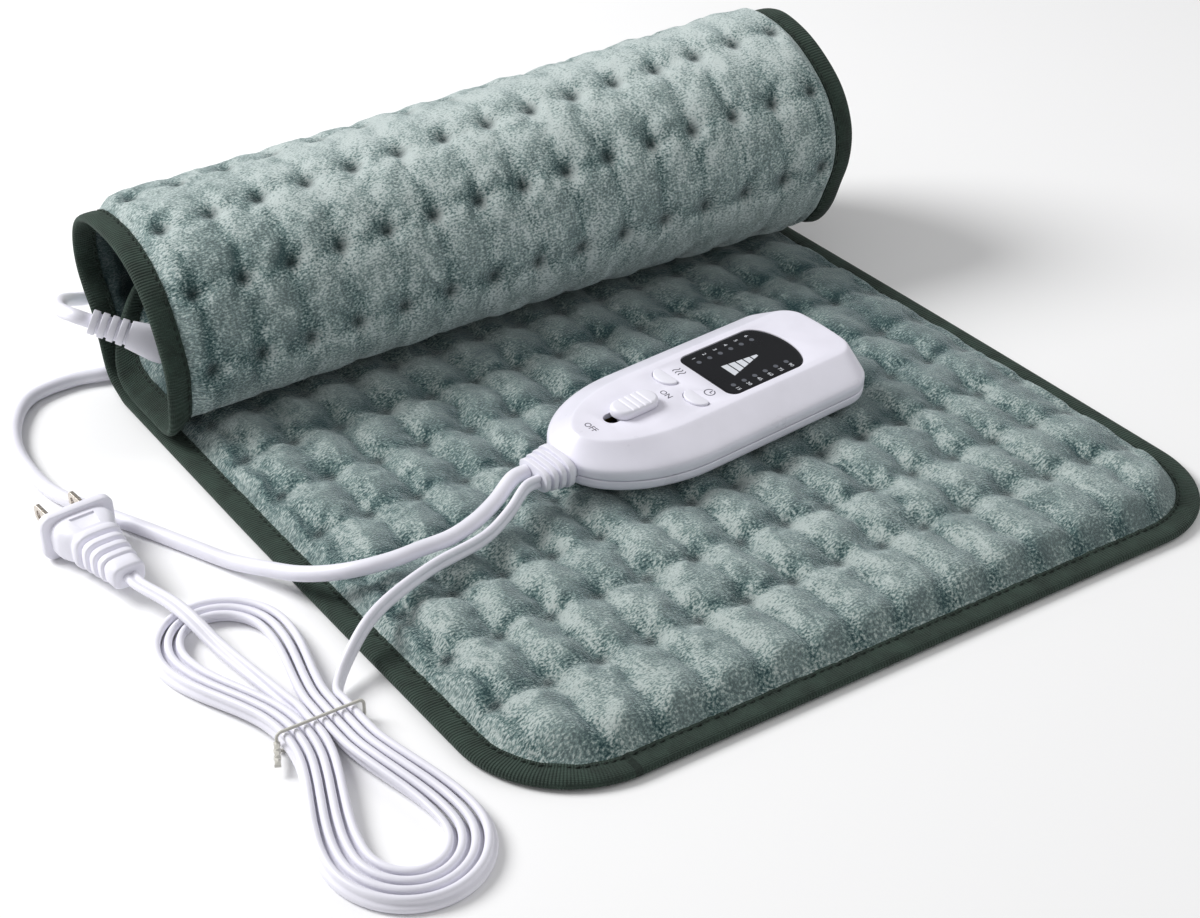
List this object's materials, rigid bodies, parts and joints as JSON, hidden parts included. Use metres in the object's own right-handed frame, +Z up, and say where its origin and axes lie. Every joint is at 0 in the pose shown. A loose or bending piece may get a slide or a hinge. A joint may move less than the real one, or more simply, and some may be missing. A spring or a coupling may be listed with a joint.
{
  "type": "heating pad with controller",
  "caption": "Tufted electric heating pad, far end rolled back, with a wired hand controller that has a slide switch, two buttons and an indicator window, and a mains lead in a tied hank.",
  "frame": {"origin": "middle of the pad's footprint, on the surface that the pad lies on", "axes": "+X along the pad's short edge toward its right side, +Y along the pad from the flat end toward the rolled end, +Z up"},
  "size_m": [0.3629, 0.3517, 0.0992],
  "materials": {
    "velvet": "brushed pile, sage green",
    "velvet_back": "brushed pile, sage green",
    "binding": "woven tape, dark green",
    "felt": "white felt",
    "heater_sleeve": "silicone sleeve",
    "thermostat_sleeve": "black sleeve",
    "white_shell": "satin white, faint lilac",
    "white_soft": "white PVC",
    "dark_lens": "smoked black",
    "dark_plastic": "black",
    "red_plastic": "red",
    "yellow_film": "yellow film",
    "board": "green circuit board",
    "led_epoxy": "clear epoxy",
    "screw_steel": "plated steel",
    "blade_metal": "nickel-plated brass",
    "tie_sleeve": "plastic-covered wire"
  },
  "bodies": {
    "pad": {"face_cover": "velvet", "back_cover": "velvet_back", "edge_binding": "binding", "element_sheet": "felt", "heating_wire": "heater_sleeve", "thermostat_1": "thermostat_sleeve", "thermostat_2": "thermostat_sleeve", "pad_boot": "white_soft", "top_shell": "white_shell", "bottom_shell": "white_shell", "display_lens": "dark_lens", "heat_switch": "dark_plastic", "timer_switch": "dark_plastic", "circuit_board": "board", "slide_switch": "dark_plastic", "light_frame": "white_soft", "indicator_leds": "led_epoxy", "triac": "dark_plastic", "capacitor": "yellow_film", "chip": "dark_plastic", "case_screw_1": "screw_steel", "case_screw_2": "screw_steel", "case_screw_3": "screw_steel", "case_screw_4": "screw_steel", "strain_relief": "white_soft", "plug_body": "white_soft", "plug_blade_left": "blade_metal", "plug_blade_right": "blade_metal", "pad_cord": "white_soft", "power_lead": "white_soft", "power_hank": "white_soft", "power_tail": "white_soft", "hank_tie": "tie_sleeve"},
    "slide_knob": {"slide_knob": "white_soft", "switch_lever": "red_plastic"},
    "heat_button": {"heat_button": "white_soft", "heat_plunger": "red_plastic"},
    "timer_button": {"timer_button": "white_soft", "timer_plunger": "red_plastic"}
  },
  "joints": [
    {"name": "slide_switch_travel", "type": "slide", "parent": "pad", "child": "slide_knob", "axis": [-0.9945, -0.1045, 0], "range_m": [0, 0.008]},
    {"name": "heat_button_press", "type": "slide", "parent": "pad", "child": "heat_button", "axis": [-0.0073, 0.0694, -0.9976], "range_m": [0, 0.0006], "stiffness_N_per_m": 1500},
    {"name": "timer_button_press", "type": "slide", "parent": "pad", "child": "timer_button", "axis": [-0.0073, 0.0694, -0.9976], "range_m": [0, 0.0006], "stiffness_N_per_m": 1500}
  ]
}
